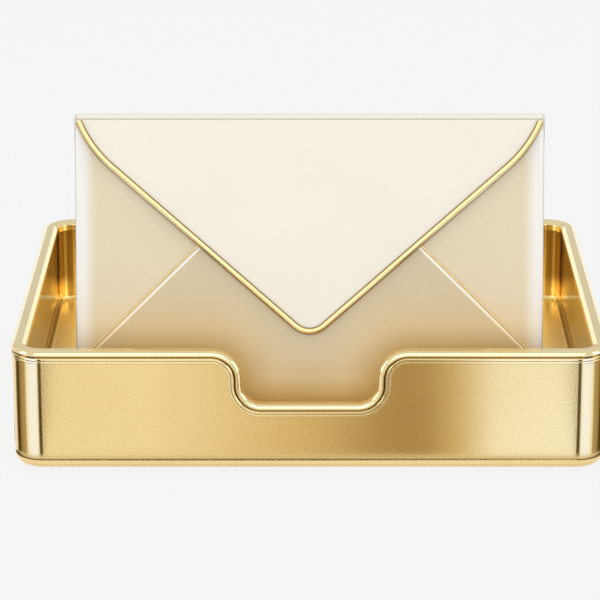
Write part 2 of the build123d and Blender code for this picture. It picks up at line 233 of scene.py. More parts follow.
class Finish:
    """A material under construction, with its Principled shader."""

    def __init__(self, name):
        self.material = bpy.data.materials.new(name)
        self.material.use_nodes = True
        self.nodes = self.material.node_tree.nodes
        self.shader = self.nodes["Principled BSDF"]
        self.place = self.node("ShaderNodeTexCoord", {}, {}, "Object")

    def node(self, kind, settings, values, output=0):
        """Adds a node; settings and ramp stops come first, then its sockets' values or links."""
        made = self.nodes.new(kind)
        for setting, value in settings.items():
            if setting != "stops":
                setattr(made, setting, value)
                continue
            for position, colour in value[1:-1]:
                made.color_ramp.elements.new(position).color = colour
            made.color_ramp.elements[0].position, made.color_ramp.elements[0].color = value[0]
            made.color_ramp.elements[-1].position, made.color_ramp.elements[-1].color = value[-1]
        for socket, value in values.items():
            self.join(made.inputs[socket], value)
        return Wire(self, made.outputs[output])

    def join(self, socket, value):
        """Links a wire to a socket, or sets the socket's own value."""
        if isinstance(value, Wire):
            self.material.node_tree.links.new(value.socket, socket)
        else:
            socket.default_value = value

    def set(self, **values):
        """Sets or links sockets of the Principled shader, by their names with underscores."""
        for socket, value in values.items():
            self.join(self.shader.inputs[socket.replace("_", " ")], value)

    def axis(self, name):
        """One of the object's own coordinates, in metres."""
        return self.node("ShaderNodeSeparateXYZ", {}, {0: self.place}, name)

    def from_middle(self, name):
        """Distance from the object's middle along one of its axes, in metres."""
        along = self.axis(name)
        return along.maths("ABSOLUTE", along, 0.0)

    def leaned(self, foot, angle):
        """Depth into the leaning envelope and height up it, in metres, from the foot of its front."""
        y, z = self.axis("Y") - foot.y, self.axis("Z") - foot.z
        return y * cos(angle) - z * sin(angle), y * sin(angle) + z * cos(angle)

    def noise(self, scale, detail=2, stretch=(1, 1, 1)):
        """Noise from 0 to 1, so many cells a metre, over the object's own coordinates."""
        place = self.node("ShaderNodeMapping", {}, {"Vector": self.place, "Scale": stretch})
        values = {"Vector": place, "Scale": scale, "Detail": detail}
        return self.node("ShaderNodeTexNoise", {}, values, "Fac")

    def ramp(self, share, low, high, start=0.0, end=1.0):
        """Value that runs smoothly from start to end while another runs from low to high."""
        settings = {"interpolation_type": "SMOOTHSTEP"}
        values = {"Value": share, "From Min": low, "From Max": high, "To Min": start, "To Max": end}
        return self.node("ShaderNodeMapRange", settings, values)

    def between(self, share, low, high):
        """Colour between two others."""
        return self.node("ShaderNodeMix", {"data_type": "RGBA"}, {0: share, 6: low, 7: high}, 2)

    def paint(self, share, colour):
        """Lays a colour over the one that the shader has, by a share from 0 to 1."""
        under = Wire(self, self.shader.inputs["Base Color"].links[0].from_socket)
        self.set(Base_Color=self.between(share, under, colour))

    def bump(self, height, depth, strength=1.0):
        """Surface relief of a height from 0 to 1 over a depth in metres."""
        return self.node("ShaderNodeBump", {}, {"Height": height, "Distance": depth, "Strength": strength})


def shade(red, green, blue):
    """Linear colour of an sRGB one, each channel from 0 to 255."""
    channels = [value / 255 for value in (red, green, blue)]
    return [c / 12.92 if c <= 0.04045 else ((c + 0.055) / 1.055) ** 2.4 for c in channels] + [1]


def gold_plate(name, deep, pale, roughness, grain):
    """Gold plate, cloudy over centimetres, smudged by hands, and finely grained."""
    finish = Finish(name)
    cloud = finish.noise(22, 3)
    smudge = finish.noise(70, 5)
    fine = finish.noise(1500, 3)
    speckle = finish.ramp(fine, 0.34, 0.66)
    finish.set(
        Base_Color=finish.between(cloud * 0.25 + smudge * 0.1 + speckle * 0.5 + 0.08, deep, pale),
        Metallic=1.0,
        Roughness=roughness + (smudge - 0.5) * roughness * 0.3 + (fine - 0.5) * grain * 0.08,
        Normal=finish.bump(fine, 0.04 * MM, grain),
    )
    return finish


def dress(piece, finish, slot, body, *nodes):
    """Gives a piece its finish in a material slot, its body and the nodes that it stands for; the slot
    argument is not used.
    """
    piece.data.materials.clear()
    piece.data.materials.append(finish.material)
    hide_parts(*nodes)
    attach(piece, body)


rim_gold = gold_plate("rim_gold", shade(238, 212, 152), shade(250, 230, 178), 0.11, 0.10)
# Painted shade in the grooves and under the lip, read from the attribute set on the bar.
groove_shade_share = rim_gold.node("ShaderNodeAttribute", {"attribute_name": "soil"}, {}, "Fac")
rim_gold.paint(groove_shade_share * 0.95, shade(84, 60, 24))
dress(rim, rim_gold, "rim_gold", "tray", "rim_trim")

# ------------------------------------------------------------------ pans
# The two pans of the tray: the pressed outer shell, satin gold with polished corner bends, and
# the drawn liner with its raised satin floor. Both have the notch cut in their front wall.

base_edge_radius, floor_edge_radius = 5.7 * MM, 2.6 * MM
shell_sheet = 1.2 * MM


def plan_outline(half_x, half_y, radius, steps=20):
    """Closed plan of a rounded rectangle from the middle of its front."""
    corners = [(half_x, -half_y), (half_x, half_y), (-half_x, half_y), (-half_x, -half_y)]
    line = [(0, -half_y), *corners, (0, -half_y)]
    return [point for point, heading in rounded(line, [radius] * 4, steps)[:-1]]


def pan_side(inset, low, high, edge_radius, steps=10):
    """One side of a pan's sheet: how far in and how high its rings lie, from the floor up."""
    rings = [(inset + edge_radius, low)]
    for step in range(1, steps + 1):
        angle = pi / 2 * step / steps
        rings.append((inset + edge_radius * (1 - sin(angle)), low + edge_radius * (1 - cos(angle))))
    rings.append((inset, high))
    return rings


def pan(name, inset, low, high, sheet, edge_radius):
    """Pan of even sheet, closed over its floor on both sides, with its top edge between."""
    outside = pan_side(inset, low, high, edge_radius)
    inside = pan_side(inset + sheet, low + sheet, high, edge_radius - sheet)
    rows = []
    for ring_inset, z in outside + list(reversed(inside)):
        half_x, half_y = shell_high.x - ring_inset, shell_high.y - ring_inset
        plan = plan_outline(half_x, half_y, corner_radius - ring_inset)
        rows.append([Vector((point.x, point.y, z)) for point in plan])
    return woven(name, rows, closed_columns=True, capped=True)


def settled(piece, modifier):
    """Applies a modifier, so that its result is the piece's own mesh."""
    bpy.context.view_layer.update()
    solid = piece.evaluated_get(bpy.context.evaluated_depsgraph_get())
    piece.data = bpy.data.meshes.new_from_object(solid)
    piece.modifiers.remove(modifier)
    return piece


def cut_notch(piece, drop):
    """Cuts the front wall along the line that runs a given drop below the rim's crown."""
    beyond = 2 * MM
    above = crown_z + 5 * MM
    outline = [point for point, heading in dip_line(rim_joint_x, drop, 14)]
    outline += [Vector((rim_joint_x, above)), Vector((-rim_joint_x, above))]
    near, far = -shell_high.y - beyond, -shell_high.y + wall + beyond
    rows = [[Vector((point.x, y, point.y)) for point in outline] for y in (near, far)]
    cutter = woven(piece.name + "_cutter", rows, closed_columns=True, capped=True)
    cut = add_modifier(piece, "BOOLEAN", operation="DIFFERENCE", solver="EXACT", object=cutter)
    settled(piece, cut)
    bpy.data.objects.remove(cutter)


shell = pan("outer_pan", 0, shell_low.z, shell_high.z, shell_sheet, base_edge_radius)
cut_notch(shell, outer_skirt)
steady_normals(shell)
shell_grain, bend_blend = 0.6, 1 * MM
shell_gold = gold_plate("shell_gold", shade(222, 187, 119), shade(250, 222, 161), 0.13, shell_grain)
bend_x, bend_y = shell_high.x - corner_radius, shell_high.y - corner_radius
across, back = shell_gold.from_middle("X"), shell_gold.from_middle("Y")
on_bend = shell_gold.ramp(across, bend_x - bend_blend, bend_x + bend_blend)
on_bend = on_bend * shell_gold.ramp(back, bend_y - bend_blend, bend_y + bend_blend)
relief = shell_gold.shader.inputs["Normal"].links[0].from_node
shell_gold.join(relief.inputs["Strength"], (1 - on_bend) * shell_grain)
shell_gold.paint(on_bend * 0.9, shade(236, 205, 141))
dress(shell, shell_gold, "shell_gold", "tray", "outer_shell")

liner = pan("inner_pan", wall - liner_sheet, liner_low.z, liner_high.z, liner_sheet,
            floor_edge_radius + liner_sheet)
cut_notch(liner, inner_skirt)
steady_normals(liner)
liner_gold = gold_plate("liner_gold", shade(230, 194, 114), shade(248, 214, 134), 0.14, 0.12)
floor_z = liner_low.z + liner_sheet
over_floor = liner_gold.axis("Z") - floor_z
from_side_wall = shell_high.x - wall - liner_gold.from_middle("X")
# Painted light: the floor's colour is lifted paler where the overhead light falls on it; its higher
# roughness is its real satin finish.
on_floor = liner_gold.ramp(over_floor, 3 * MM, 1 * MM)
# Painted shade: the upper part of the side walls is darkened.
upper_side_shade = liner_gold.ramp(over_floor, 4 * MM, 15 * MM)
upper_side_shade = upper_side_shade * liner_gold.ramp(from_side_wall, 12 * MM, 2 * MM)
# Painted shade: a darker line along the foot of the side walls, next to the floor.
side_foot_shade = liner_gold.ramp(from_side_wall, 2.2 * MM, 1.4 * MM)
side_foot_shade = side_foot_shade * liner_gold.ramp(over_floor, 2.2 * MM, 1.2 * MM)
liner_gold.paint(upper_side_shade * 0.9, shade(108, 76, 28))
liner_gold.paint(on_floor, shade(255, 228, 150))
liner_gold.paint(side_foot_shade * 0.75, shade(104, 72, 26))
liner_gold.set(Roughness=0.14 + on_floor * 0.3)
dress(liner, liner_gold, "liner_gold", "tray", "inner_liner")

# ------------------------------------------------------------------ feet, spacers and screws
# Four round rubber feet are stuck under the corners. Zinc-plated hexagon screws and spacers tie
# the two pans together and hold the letter rest.

head_width, head_height, screw_radius = 5.5 * MM, 1.8 * MM, 1.5 * MM
spacer_width, spacer_bevel = 7.0 * MM, 0.4 * MM
pole_radius = 0.1 * MM


def turned(name, profile, sides=48, flats=0.0):
    """Turned piece about Z from radii and heights; flats limits it to a hexagon that wide."""
    rows = []
    for radius, z in profile:
        row = []
        for side in range(sides):
            angle = 2 * pi * side / sides
            off_flat = angle % (pi / 3) - pi / 6
            reach = min(radius, flats / 2 / cos(off_flat)) if flats else radius
            row.append(Vector((reach * cos(angle), reach * sin(angle), z)))
        rows.append(row)
    return woven(name, rows, closed_columns=True, capped=True)


def new_tree(name, **inputs):
    """Geometry Nodes tree with inputs of the given kinds, and its input and output nodes."""
    tree = bpy.data.node_groups.new(name, "GeometryNodeTree")
    for socket, kind in inputs.items():
        tree.interface.new_socket(socket, in_out="INPUT", socket_type="NodeSocket" + kind)
    tree.interface.new_socket("Geometry", in_out="OUTPUT", socket_type="NodeSocketGeometry")
    return tree, tree.nodes.new("NodeGroupInput"), tree.nodes.new("NodeGroupOutput")


def finish_tree(tree, start, end, geometry):
    """Ends a tree in real geometry that wears the finish given as an input."""
    real = tree.nodes.new("GeometryNodeRealizeInstances")
    finish = tree.nodes.new("GeometryNodeSetMaterial")
    tree.links.new(geometry, real.inputs["Geometry"])
    tree.links.new(real.outputs["Geometry"], finish.inputs["Geometry"])
    tree.links.new(start.outputs["Finish"], finish.inputs["Material"])
    tree.links.new(finish.outputs["Geometry"], end.inputs["Geometry"])
    return tree


def scatter_tree():
    """Geometry Nodes that set one piece at each of a mesh's points, and give it a finish."""
    tree, start, end = new_tree("set_on_points", Points="Geometry", Piece="Object", Finish="Material")
    source = tree.nodes.new("GeometryNodeObjectInfo")
    copies = tree.nodes.new("GeometryNodeInstanceOnPoints")
    tree.links.new(start.outputs["Piece"], source.inputs["Object"])
    tree.links.new(start.outputs["Points"], copies.inputs["Points"])
    tree.links.new(source.outputs["Geometry"], copies.inputs["Instance"])
    return finish_tree(tree, start, end, copies.outputs["Instances"])


set_on_points = scatter_tree()


def grown(piece, tree, **inputs):
    """Runs a Geometry Nodes tree on a piece, with its inputs by name, and keeps the plain mesh."""
    modifier = piece.modifiers.new("tree", "NODES")
    modifier.node_group = tree
    sockets = [item for item in tree.interface.items_tree if item.in_out == "INPUT"]
    identifiers = {socket.name: socket.identifier for socket in sockets}
    for name, value in inputs.items():
        modifier[identifiers[name]] = value
    return settled(piece, modifier)


def on_points(name, piece, places, finish):
    """Copies of a piece at several places, as one mesh; the first piece is used up."""
    mesh = bpy.data.meshes.new(name)
    mesh.from_pydata(places, [], [])
    group = placed(name, mesh)
    grown(group, set_on_points, Piece=piece, Finish=finish.material)
    bpy.data.objects.remove(piece)
    steady_normals(group, 35)
    return group


def node_corners(node, half_x, half_y):
    """Middles of the solids that stand in the corners of a node's box, and the box's heights."""
    low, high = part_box(node)
    xs = (low.x + half_x, high.x - half_x)
    ys = (low.y + half_y, high.y - half_y)
    if high.y - low.y <= 3 * half_y:
        ys = ((low.y + high.y) / 2,)
    return [(x, y) for x in xs for y in ys], low.z, high.z


steel = Finish("zinc_steel")
brushed = steel.noise(900, 3, (1, 1, 0.1))
steel.set(
    Base_Color=steel.between(brushed, shade(148, 148, 146), shade(182, 182, 180)),
    Metallic=1.0,
    Roughness=0.28 + (brushed - 0.5) * 0.12,
    Normal=steel.bump(brushed, 0.02 * MM, 0.4),
)
rubber = Finish("foot_rubber")
mottle = rubber.noise(1400, 3)
rubber.set(
    Base_Color=rubber.between(mottle, shade(26, 25, 24), shade(44, 43, 41)),
    Roughness=0.72 + (mottle - 0.5) * 0.2,
    Normal=rubber.bump(mottle, 0.08 * MM, 0.6),
)


def screw_profile(shank, head):
    """Radii and heights of a screw that bears at Z 0, with its shank to one side."""
    side = 1 if head > 0 else -1
    corner = head_width / sqrt(3)
    tip_bevel, under_in, under_up = 0.3 * MM, 0.2 * MM, 0.15 * MM
    top_in, top_down = 0.15 * MM, 0.35 * MM
    return [
        (pole_radius, shank),
        (screw_radius - tip_bevel, shank),
        (screw_radius, shank + side * tip_bevel),
        (screw_radius, 0),
        (corner - under_in, 0),
        (corner, side * under_up),
        (corner, head - side * top_down),
        (head_width / 2 - top_in, head),
        (pole_radius, head),
    ]


def screw_set(name, node, head_up):
    """The screws of one node, with hexagon heads above or below."""
    places, low, high = node_corners(node, head_width / sqrt(3), head_width / 2)
    head = head_height if head_up else -head_height
    bearing = high - head if head_up else low - head
    shank = low - bearing if head_up else high - bearing
    single = turned("one_" + name, screw_profile(shank, head), flats=head_width)
    group = on_points(name, single, [(x, y, bearing) for x, y in places], steel)
    dress(group, steel, "steel", "tray", node)


screw_set("corner_screw_set", "corner_screws", False)
screw_set("base_screw_set", "base_screws", False)
screw_set("rest_screw_set", "rest_screws", True)

spacer_corner = spacer_width / sqrt(3)
for node in ("corner_spacers", "rest_spacers"):
    places, low, high = node_corners(node, spacer_corner, spacer_width / 2)
    length = high - low
    profile = [
        (spacer_corner - spacer_bevel, 0),
        (spacer_corner, spacer_bevel),
        (spacer_corner, length - spacer_bevel),
        (spacer_corner - spacer_bevel, length),
    ]
    single = turned("one_" + node, profile, flats=spacer_width)
    group = on_points(node[:-1] + "_set", single, [(x, y, low) for x, y in places], steel)
    dress(group, steel, "steel", "tray", node)

foot_radius, foot_edge, edge_steps = 9.0 * MM, 0.6 * MM, 6
hollow_radius, hollow_slope, hollow_depth = foot_radius - 2.2 * MM, 0.4 * MM, 0.25 * MM
places, low, high = node_corners("rubber_feet", foot_radius, foot_radius)
hollow_z = low + hollow_depth
profile = [(pole_radius, hollow_z), (hollow_radius - hollow_slope, hollow_z), (hollow_radius, low)]
for step in range(edge_steps + 1):
    angle = pi / 2 * step / edge_steps
    profile.append((foot_radius - foot_edge * (1 - sin(angle)), low + foot_edge * (1 - cos(angle))))
profile += [(foot_radius, high), (pole_radius, high)]
foot = turned("one_foot", profile, 64)
feet = on_points("rubber_foot_set", foot, [(x, y, 0) for x, y in places], rubber)
dress(feet, rubber, "foot_rubber", "tray", "rubber_feet")

# ------------------------------------------------------------------ letter rest
# One strip of satin gold sheet, bent five times: a low lip, the ledge that the envelope stands on,
# the leaning back, a folded top, a rear leg, and the flange that is screwed to the tray's floor.

rest_sheet, rest_bend, rest_width, rest_corner = 1.5 * MM, 1.2 * MM, 150 * MM, 12 * MM
rest_lip, rest_height, rest_gap, rest_leg_setback = 3.4 * MM, 72 * MM, 0.3 * MM, 30 * MM
envelope_depth = 6.9 * MM
bottom_front = 1.5 * MM
lean = radians(12)
seat = Vector((0, -94.6 * MM, 22.367 * MM))
leaning = Matrix.Translation(seat) @ Matrix.Rotation(-lean, 4, "X")


def folded_board(name, rows, sheet, bevel, segments=3):
    """Board of even thickness about a bent middle surface, with its edges rounded."""
    board = woven(name, rows)
    add_modifier(board, "SOLIDIFY", thickness=sheet, offset=0, use_even_offset=True)
    add_modifier(board, "BEVEL", width=bevel, segments=segments, limit_method="ANGLE",
                 angle_limit=radians(50))
    add_modifier(board, "WEIGHTED_NORMAL", keep_sharp=True, weight=90)
    return board


def spread(half, columns):
    """Evenly spaced places from one side to the other."""
    return [2 * half * (column / columns - 0.5) for column in range(columns + 1)]


def upright(y, z):
    """Place on the leaning envelope's own section, as the tray's Y and Z."""
    place = leaning @ Vector((0, y, z))
    return (place.y, place.z)


rest_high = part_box("letter_rest")[1]
half_sheet = rest_sheet / 2
rest_front = bottom_front - rest_gap - half_sheet
rest_back = envelope_depth + rest_gap + half_sheet
ledge = -rest_gap - half_sheet
leg_y = seat.y + rest_leg_setback
top = upright(rest_back, rest_height)
rest_section = [
    upright(rest_front, rest_lip - rest_gap),
    upright(rest_front, ledge),
    upright(rest_back, ledge),
    top,
    (leg_y, top[1]),
    (leg_y, floor_z + half_sheet),
    (rest_high.y, floor_z + half_sheet),
]
rest_columns, corner_steps = 12, 8
rest_rows = []
for point, heading in rounded(rest_section, [rest_bend + half_sheet] * 5, 8)[:-1]:
    rest_rows.append([Vector((x, point.x, point.y)) for x in spread(rest_width / 2, rest_columns)])
for step in range(corner_steps + 1):
    angle = pi / 2 * step / corner_steps
    half = rest_width / 2 - rest_corner * (1 - cos(angle))
    y = rest_high.y - rest_corner * (1 - sin(angle))
    rest_rows.append([Vector((x, y, floor_z + half_sheet)) for x in spread(half, rest_columns)])
rest = folded_board("letter_rest_strip", rest_rows, rest_sheet, 0.3 * MM)
rest_gold = gold_plate("rest_gold", shade(206, 162, 88), shade(228, 186, 112), 0.3, 0.4)
dress(rest, rest_gold, "rest_gold", "tray", "letter_rest")

# ------------------------------------------------------------------ envelope panels
# Pearl-lacquered board: two side flaps folded round from the back, the deeper-coloured bottom
# flap lapped over them, and the plain back. Their cut edges are rounded over and catch the light.

envelope_width, envelope_height = 222.25 * MM, 146.05 * MM
half_width = envelope_width / 2
panel_sheet, flap_sheet = 0.9 * MM, 1.2 * MM
half_panel = panel_sheet / 2
side_front = bottom_front + panel_sheet
hinge_radius = envelope_depth / 2
hinge_z = envelope_height - hinge_radius
fold_gap = 0.3 * MM
panel_top = hinge_z - hinge_radius - fold_gap
side_fold_radius, bottom_fold_radius, rear_fold_radius = 3.2 * MM, 2.7 * MM, 1.1 * MM
side_low, side_reach, side_tip_z, side_tip_radius = 4 * MM, 84 * MM, 73 * MM, 9 * MM
side_top_rise, side_top_drop = 0.2 * MM, 0.6 * MM
rear_lip = 2.1 * MM
rear_y = envelope_depth - half_panel
ear_sheet, ear_neck, ear_middle, end_round = 0.9 * MM, 9 * MM, 1.5 * MM, 1.7 * MM


def pearl_board(name, deep, pale, roughness=0.4):
    """Lacquered board: slightly uneven colour, faint fibres and a fine pearl grain."""
    finish = Finish(name)
    cloud = finish.noise(18, 3)
    fibre = finish.noise(900, 4, (1, 1, 0.35))
    fine = finish.noise(2400, 2)
    finish.set(
        Base_Color=finish.between(cloud * 0.5 + fibre * 0.2 + fine * 0.3, deep, pale),
        Roughness=roughness + (fibre - 0.5) * 0.14,
        Coat_Weight=0.3,
        Coat_Roughness=0.18,
        Normal=finish.bump(fine * 0.6 + fibre * 0.4, 0.03 * MM, 0.3),
    )
    return finish


def side_board(name, side):
    """Left (-1) or right (1) side flap with its fold and its lip on the rear."""
    fold_x = -half_width + side_fold_radius
    corners = [
        (fold_x, side_low),
        (-half_width + side_reach, side_tip_z),
        (fold_x, panel_top - side_top_drop),
        (fold_x, panel_top + side_top_rise),
    ]
    rows = []
    for edge, heading in rounded(corners, [side_tip_radius, 0.1 * MM], 10):
        reach = max(edge.x, fold_x + 0.05 * MM)
        plan = [
            (-half_width + rear_lip, rear_y),
            (-half_width + half_panel, rear_y),
            (-half_width + half_panel, side_front + half_panel),
            (reach, side_front + half_panel),
        ]
        bent = rounded(plan, [rear_fold_radius - half_panel, side_fold_radius - half_panel], 8)
        rows.append([Vector((point.x, point.y, edge.y)) for point, heading in bent])
    board = folded_board(name, rows, panel_sheet, 0.3 * MM)
    board.data.transform(Matrix.Diagonal((-side, 1, 1, 1)))
    if side > 0:
        board.data.flip_normals()
    board.data.transform(leaning)
    return board


def end_drop(x):
    """How far the top fold's rounded end lies below its full radius, some way in from the side."""
    reach = max(0, end_round - x)
    return end_round - sqrt(end_round ** 2 - reach ** 2)


def neck_board(name, side):
    """Rear neck that joins the ear to the side flap's fold."""
    near, far, low = hinge_radius, envelope_depth - rear_fold_radius, hinge_z - ear_neck
    section = [(near, low), (far, low), (far, hinge_z), (near, hinge_z)]
    rows = []
    for x in (half_width - ear_sheet, half_width - 0.02 * MM):
        rows.append([Vector((side * x, y, z)) for y, z in section])
    neck = woven(name, rows, closed_columns=True, capped=True)
    neck.data.transform(leaning)
    return neck


def hinge_ring(x, radius, sides):
    """Circle about the hinge line at one place along it."""
    angles = [2 * pi * step / sides for step in range(sides)]
    return [Vector((x, hinge_radius + radius * sin(a), hinge_z + radius * cos(a))) for a in angles]


def ear_board(name, side):
    """Domed end of the top fold, in which the hinge pin sits."""
    dome = [share * ear_sheet for share in (0, 0.08, 0.25, 0.5, 0.75, 1)]
    rings = [(0, ear_middle), *((x, hinge_radius - end_drop(x)) for x in dome), (ear_sheet, ear_middle)]
    rows = [hinge_ring(side * (half_width - x), radius, 48) for x, radius in rings]
    ear = woven(name, rows, closed_columns=True, capped=True)
    ear.data.transform(leaning)
    return ear


def joined(name, *parts):
    """One object of several, each with its modifiers applied first."""
    bpy.context.view_layer.update()
    graph = bpy.context.evaluated_depsgraph_get()
    shape = bmesh.new()
    for part in parts:
        shape.from_mesh(bpy.data.meshes.new_from_object(part.evaluated_get(graph)))
    mesh = bpy.data.meshes.new(name)
    shape.to_mesh(mesh)
    shape.free()
    for part in parts:
        bpy.data.objects.remove(part)
    return placed(name, mesh)


side_beige = pearl_board("side_beige", shade(216, 200, 166), shade(230, 216, 184))
from_fold = half_width - side_beige.from_middle("X")
# Painted highlight: the colour is whitened towards each side fold.
side_beige.paint(side_beige.ramp(from_fold, 10.5 * MM, 3 * MM), shade(240, 237, 229))
# Painted shade: a thin darker line right at the fold's outer edge.
side_beige.paint(side_beige.ramp(from_fold, 0.6 * MM, 0.15 * MM) * 0.75, shade(160, 140, 104))
for side, node in ((-1, "left_flap"), (1, "right_flap")):
    ear = ear_board(node + "_ear", side)
    neck = neck_board(node + "_neck", side)
    parts = [side_board(node + "_board", side), ear, neck]
    flap_side = joined(node + "_whole", *parts)
    steady_normals(flap_side, 40)
    dress(flap_side, side_beige, "side_beige", "envelope", node)

flap_half = half_width - 0.7 * MM
seam_foot, seam_top, seam_angle, seam_corner = 26.8 * MM, 104 * MM, radians(44.3), 6 * MM
seam_run = (seam_top - seam_foot) / tan(seam_angle)
bottom_middle = bottom_front + half_panel
bottom_section = rounded(
    [(bottom_middle, seam_foot), (bottom_middle, half_panel), (rear_y, half_panel), (rear_y, rear_lip)],
    [bottom_fold_radius - half_panel, rear_fold_radius - half_panel], 8)
bottom_edge = [
    (-flap_half, bottom_fold_radius),
    (-flap_half, seam_foot),
    (-flap_half + seam_run, seam_top),
    (0, seam_top),
]
bottom_columns = 16
bottom_rows = []
for point, heading in reversed(bottom_section[1:]):
    bottom_rows.append([Vector((x, point.x, point.y)) for x in spread(flap_half, bottom_columns)])
for edge, heading in rounded(bottom_edge, [seam_corner, seam_corner], 8)[1:-1]:
    bottom_rows.append([Vector((x, bottom_middle, edge.y)) for x in spread(-edge.x, bottom_columns)])
bottom = folded_board("bottom_flap_board", bottom_rows, panel_sheet, 0.42 * MM, 4)
bottom.data.transform(leaning)
bottom_beige = pearl_board("bottom_beige", shade(200, 183, 146), shade(216, 200, 164))
from_side = flap_half - bottom_beige.from_middle("X")
up_board = (bottom_beige.axis("Z") - (seat.z + seam_foot * cos(lean))) * (1 / cos(lean))
below_seam = (from_side * tan(seam_angle) - up_board) * cos(seam_angle)
# Painted highlight: a pale line along the rounded edges of the bottom flap's seams.
seam_highlight = bottom_beige.ramp(below_seam, 0.2 * MM, 0.8 * MM)
seam_highlight = seam_highlight * bottom_beige.ramp(below_seam, 2.1 * MM, 1.3 * MM)
bottom_beige.paint(seam_highlight * 0.85, shade(255, 250, 238))
dress(bottom, bottom_beige, "bottom_beige", "envelope", "bottom_flap")

back_top = hinge_z - sqrt((hinge_radius + fold_gap) ** 2 - (hinge_radius - panel_sheet) ** 2)
back_half = half_width - rear_lip - 0.02 * MM
back_rows = []
for z in (rear_lip, 50 * MM, 100 * MM, back_top):
    back_rows.append([Vector((x, rear_y, z)) for x in spread(back_half, 4)])
back = folded_board("back_board", back_rows, panel_sheet, 0.12 * MM, 2)
back.data.transform(leaning)
back_cream = pearl_board("back_cream", shade(222, 208, 178), shade(234, 222, 194))
dress(back, back_cream, "back_cream", "envelope", "back_panel")

# ------------------------------------------------------------------ letter card
# The stiff uncoated card that gives the envelope its thickness. It is folded once at the foot and
# stands between the side flaps and the back.

card_leaf, card_height, leaf_gap = 1.0 * MM, 132 * MM, 0.4 * MM
card_side_room, card_front_room = 2.2 * MM, 0.15 * MM
card_half = half_width - panel_sheet - card_side_room
card_front = side_front + panel_sheet + card_front_room + card_leaf / 2
card_rear = card_front + card_leaf + leaf_gap
card_foot, card_top = panel_sheet + card_leaf / 2, panel_sheet + card_height
card_fold = (card_rear - card_front) / 2 - 0.01 * MM
card_line = rounded(
    [(card_front, card_top), (card_front, card_foot), (card_rear, card_foot), (card_rear, card_top)],
    [card_fold, card_fold], 6)
card_rows = []
for point, heading in card_line:
    card_rows.append([Vector((x, point.x, point.y)) for x in spread(card_half, 2)])
card = folded_board("letter_card_board", card_rows, card_leaf, 0.1 * MM, 2)
card.data.transform(leaning)
card_white = Finish("card_white")
tooth = card_white.noise(1600, 5)
card_white.set(
    Base_Color=card_white.between(tooth, shade(232, 229, 219), shade(246, 244, 236)),
    Roughness=0.85 + (tooth - 0.5) * 0.2,
    Normal=card_white.bump(tooth, 0.06 * MM, 0.5),
)
dress(card, card_white, "card_white", "envelope", "letter_card")

# ------------------------------------------------------------------ seam cords, piping and pin
# Thin polished gold cords lie in the corners of the bottom flap's seams. A thicker gold cord edges
# the pointed flap. The steel hinge pin runs through the top fold, its rounded ends in the ears.

corner_x = half_width - 2.5 * MM
shoulder_angle, shoulder_drop = radians(65.8), 12.9 * MM
point_height, point_radius, shoulder_radius = 40 * MM, 10 * MM, 58 * MM
turn_x, turn_z = corner_x - shoulder_drop / tan(shoulder_angle), hinge_z - shoulder_drop
flap_corners = [
    (-corner_x, hinge_z),
    (-turn_x, turn_z),
    (0, point_height),
    (turn_x, turn_z),
    (corner_x, hinge_z),
]
flap_edge = rounded(flap_corners, [shoulder_radius, point_radius, shoulder_radius], 24)


def cord_tree():
    """Geometry Nodes that sweep a round cord along a line of points, closed at both ends."""
    tree, start, end = new_tree("cord_along_line", Line="Geometry", Radius="Float", Shape="Vector",
                                Facing="Vector", Finish="Material")
    add = tree.nodes.new
    path, ring = add("GeometryNodeMeshToCurve"), add("GeometryNodeCurvePrimitiveCircle")
    ring.inputs["Resolution"].default_value = 24
    aim, oval = add("GeometryNodeSetCurveNormal"), add("GeometryNodeTransform")
    aim.mode = "FREE"
    sweep, smooth = add("GeometryNodeCurveToMesh"), add("GeometryNodeSetShadeSmooth")
    sweep.inputs["Fill Caps"].default_value = True
    join = tree.links.new
    join(start.outputs["Line"], path.inputs["Mesh"])
    join(start.outputs["Radius"], ring.inputs["Radius"])
    join(path.outputs["Curve"], aim.inputs["Curve"])
    join(start.outputs["Facing"], aim.inputs["Normal"])
    join(aim.outputs["Curve"], sweep.inputs["Curve"])
    join(ring.outputs["Curve"], oval.inputs["Geometry"])
    join(start.outputs["Shape"], oval.inputs["Scale"])
    join(oval.outputs["Geometry"], sweep.inputs["Profile Curve"])
    join(sweep.outputs["Mesh"], smooth.inputs["Geometry"])
    return finish_tree(tree, start, end, smooth.outputs["Geometry"])


cord_along_line = cord_tree()
edge_gold = gold_plate("edge_gold", shade(222, 188, 122), shade(244, 216, 156), 0.16, 0.08)
cord_depth = edge_gold.leaned(seat, lean)[0]
# Painted shade: the cord's colour is darkened on its rear, where it turns in towards the flap.
cord_rear_shade = edge_gold.ramp(cord_depth, -1.15 * MM, -0.65 * MM)
cord_rear_shade = cord_rear_shade * edge_gold.ramp(cord_depth, 1.5 * MM, 1.3 * MM)
edge_gold.paint(cord_rear_shade * 0.85, shade(112, 78, 30))


def edging(name, points, radius, widening, body, node):
    """Gold cord along points on the leaning envelope, wider across its face than it is deep."""
    mesh = bpy.data.meshes.new(name)
    edges = [(index, index + 1) for index in range(len(points) - 1)]
    mesh.from_pydata([leaning @ point for point in points], edges, [])
    cord = placed(name, mesh)
    facing = leaning.to_3x3() @ Vector((0, 1, 0))
    shape = (1, widening, 1)
    grown(cord, cord_along_line, Radius=radius, Shape=shape, Facing=facing, Finish=edge_gold.material)
    steady_normals(cord, 60)
    dress(cord, edge_gold, "edge_gold", body, node)


